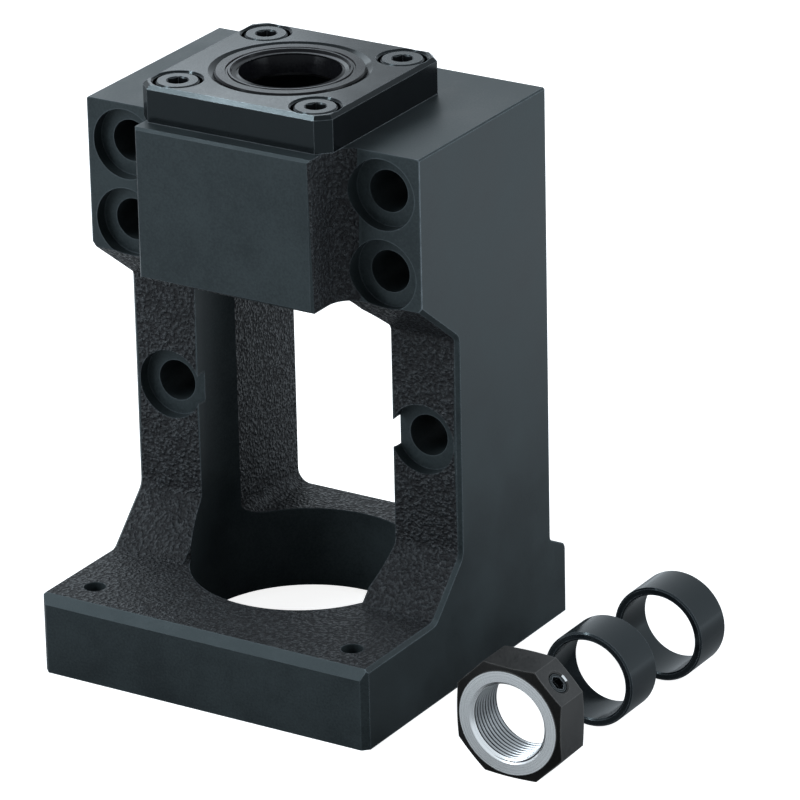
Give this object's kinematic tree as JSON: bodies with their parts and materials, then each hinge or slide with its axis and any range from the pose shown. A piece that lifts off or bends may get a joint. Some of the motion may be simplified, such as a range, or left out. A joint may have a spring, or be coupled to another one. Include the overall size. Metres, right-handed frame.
{
  "type": "ball screw motor bracket",
  "caption": "Cast motor bracket for a ball screw, with a square motor flange, an open coupling window and a lidded bearing head, its lock nut and spacer collars beside it.",
  "frame": {"origin": "centre of the motor's pilot bore, at the face that the motor bolts to", "axes": "+Z along the screw from the motor to the bearing head, +Y out of the flat back that bolts to the machine, -Y the spotfaced front, +X to the right seen from the front"},
  "size_m": [0.1811, 0.116, 0.1855],
  "materials": {
    "casting": "blackened casting, rough where cast and satin where machined",
    "lid": "glossy black",
    "black_steel": "black oxide, semi-gloss",
    "bearing_steel": "ground and polished",
    "seal_rubber": "smooth black",
    "spring_steel": "drawn wire",
    "cage": "moulded polyamide",
    "nut": "black oxide with a bright turned face and thread",
    "pad": "plain"
  },
  "bodies": {
    "bracket": {"housing": "casting", "bearing_lid": "lid", "lid_screw_1": "black_steel", "lid_screw_2": "black_steel", "lid_screw_3": "black_steel", "lid_screw_4": "black_steel", "lower_seal_rubber": "seal_rubber", "lower_seal_case": "bearing_steel", "lower_garter_spring": "spring_steel", "lower_outer_ring": "bearing_steel", "upper_seal_rubber": "seal_rubber", "upper_seal_case": "bearing_steel", "upper_garter_spring": "spring_steel", "upper_outer_ring": "bearing_steel", "spacer_collar_1": "black_steel", "spacer_collar_2": "black_steel", "lock_nut": "nut", "nut_set_screw_1": "black_steel", "nut_set_screw_2": "black_steel", "nut_pad_1": "pad", "nut_pad_2": "pad"},
    "lower_inner": {"lower_inner_ring": "bearing_steel"},
    "lower_ball_set": {"lower_cage": "cage", "lower_ball_01": "bearing_steel", "lower_ball_02": "bearing_steel", "lower_ball_03": "bearing_steel", "lower_ball_04": "bearing_steel", "lower_ball_05": "bearing_steel", "lower_ball_06": "bearing_steel", "lower_ball_07": "bearing_steel", "lower_ball_08": "bearing_steel", "lower_ball_09": "bearing_steel", "lower_ball_10": "bearing_steel", "lower_ball_11": "bearing_steel", "lower_ball_12": "bearing_steel", "lower_ball_13": "bearing_steel"},
    "upper_inner": {"upper_inner_ring": "bearing_steel"},
    "upper_ball_set": {"upper_cage": "cage", "upper_ball_01": "bearing_steel", "upper_ball_02": "bearing_steel", "upper_ball_03": "bearing_steel", "upper_ball_04": "bearing_steel", "upper_ball_05": "bearing_steel", "upper_ball_06": "bearing_steel", "upper_ball_07": "bearing_steel", "upper_ball_08": "bearing_steel", "upper_ball_09": "bearing_steel", "upper_ball_10": "bearing_steel", "upper_ball_11": "bearing_steel", "upper_ball_12": "bearing_steel", "upper_ball_13": "bearing_steel"}
  },
  "joints": [
    {"name": "lower_inner_spin", "type": "hinge", "parent": "bracket", "child": "lower_inner", "pos_m": [0, 0, 0.1455], "axis": [0, 0, 1], "continuous": true},
    {"name": "lower_cage_spin", "type": "hinge", "parent": "bracket", "child": "lower_ball_set", "pos_m": [0, 0, 0.1455], "axis": [0, 0, 1], "continuous": true},
    {"name": "upper_inner_spin", "type": "hinge", "parent": "bracket", "child": "upper_inner", "pos_m": [0, 0, 0.1605], "axis": [0, 0, 1], "continuous": true},
    {"name": "upper_cage_spin", "type": "hinge", "parent": "bracket", "child": "upper_ball_set", "pos_m": [0, 0, 0.1605], "axis": [0, 0, 1], "continuous": true}
  ],
  "couplings": [
    {"joint": "lower_cage_spin", "follows": "lower_inner_spin", "ratio": 0.4107},
    {"joint": "upper_cage_spin", "follows": "upper_inner_spin", "ratio": 0.4107}
  ]
}
